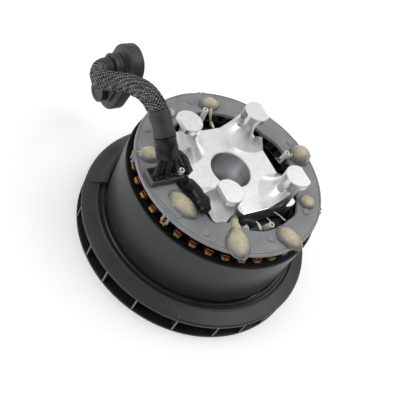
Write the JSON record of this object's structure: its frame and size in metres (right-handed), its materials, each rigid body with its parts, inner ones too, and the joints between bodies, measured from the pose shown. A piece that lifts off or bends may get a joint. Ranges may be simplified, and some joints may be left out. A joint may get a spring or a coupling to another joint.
{
  "type": "brushless outrunner motor",
  "caption": "Outrunner motor with a spinning bell and vaned fan flange, a machined mount with corner posts, a terminal ring and a short braided lead with a plug.",
  "frame": {"origin": "on the motor's axis, in the plane of the fan flange's lower edge, which the motor stands on", "axes": "+Z along the motor's axis towards the mount; the lead leaves at the -X side; the posts stand at the corners of a square along X and Y"},
  "size_m": [0.138, 0.1676, 0.096],
  "materials": {
    "machined_aluminium": "bright fine-turned",
    "turned_aluminium": "satin turned",
    "anodised_bell": "dark grey satin anodised",
    "steel": "ground",
    "bearing_steel": "polished",
    "lamination": "varnished stack",
    "magnet": "epoxy coated",
    "enamelled_copper": "enamelled wire",
    "slot_insulator": "matte",
    "grey_plastic": "moulded satin",
    "black_plastic": "moulded satin",
    "black_rubber": "matte",
    "heat_shrink": "satin",
    "braid": "woven",
    "silicone": "glossy translucent",
    "white_tube": "satin",
    "contact_plating": "plated"
  },
  "bodies": {
    "stator": {"motor_mount": "machined_aluminium", "stator_core": "lamination", "upper_insulator": "slot_insulator", "lower_insulator": "slot_insulator", "windings": "enamelled_copper", "terminal_ring": "grey_plastic", "terminal_block": "grey_plastic", "silicone_dot_1": "silicone", "silicone_dot_2": "silicone", "silicone_dot_3": "silicone", "silicone_dot_4": "silicone", "silicone_dot_5": "silicone", "silicone_dot_6": "silicone", "silicone_dot_7": "silicone", "silicone_dot_8": "silicone", "wire_sleeve_1": "white_tube", "wire_sleeve_2": "white_tube", "wire_sleeve_3": "white_tube", "wire_sleeve_4": "white_tube", "phase_lead_1": "heat_shrink", "phase_lead_2": "heat_shrink", "phase_lead_3": "heat_shrink", "phase_lead_4": "heat_shrink", "phase_lead_5": "heat_shrink", "coil_loom_1": "heat_shrink", "coil_loom_2": "heat_shrink", "shrink_collar": "heat_shrink", "shrink_sleeve": "heat_shrink", "braided_lead": "braid", "gland_nut": "black_rubber", "plug_housing": "black_rubber", "plug_blank_cap": "black_rubber", "plug_contact_1": "contact_plating", "plug_contact_2": "contact_plating", "plug_contact_3": "contact_plating", "lower_bearing_outer_race": "bearing_steel", "upper_bearing_outer_race": "bearing_steel", "outer_race_spacer": "turned_aluminium", "bearing_circlip": "bearing_steel"},
    "rotor": {"bell": "anodised_bell", "flux_ring": "steel", "magnet_ring": "magnet", "end_plate": "turned_aluminium", "fan_flange": "black_plastic", "fan_screw_1": "steel", "fan_screw_2": "steel", "fan_screw_3": "steel", "fan_screw_4": "steel", "fan_screw_5": "steel", "fan_screw_6": "steel", "shaft": "steel", "shaft_clip": "steel", "lower_bearing_inner_race": "bearing_steel", "upper_bearing_inner_race": "bearing_steel", "inner_race_spacer": "turned_aluminium"},
    "lower_cage": {"lower_bearing_ball_cage": "bearing_steel"},
    "upper_cage": {"upper_bearing_ball_cage": "bearing_steel"}
  },
  "joints": [
    {"name": "rotor_spin", "type": "hinge", "parent": "stator", "child": "rotor", "pos_m": [0, 0, 0], "axis": [0, 0, 1], "continuous": true},
    {"name": "lower_cage_spin", "type": "hinge", "parent": "stator", "child": "lower_cage", "pos_m": [0, 0, 0.019], "axis": [0, 0, 1], "continuous": true},
    {"name": "upper_cage_spin", "type": "hinge", "parent": "stator", "child": "upper_cage", "pos_m": [0, 0, 0.033], "axis": [0, 0, 1], "continuous": true}
  ],
  "couplings": [
    {"joint": "lower_cage_spin", "follows": "rotor_spin", "ratio": 0.4337},
    {"joint": "upper_cage_spin", "follows": "rotor_spin", "ratio": 0.4337}
  ]
}
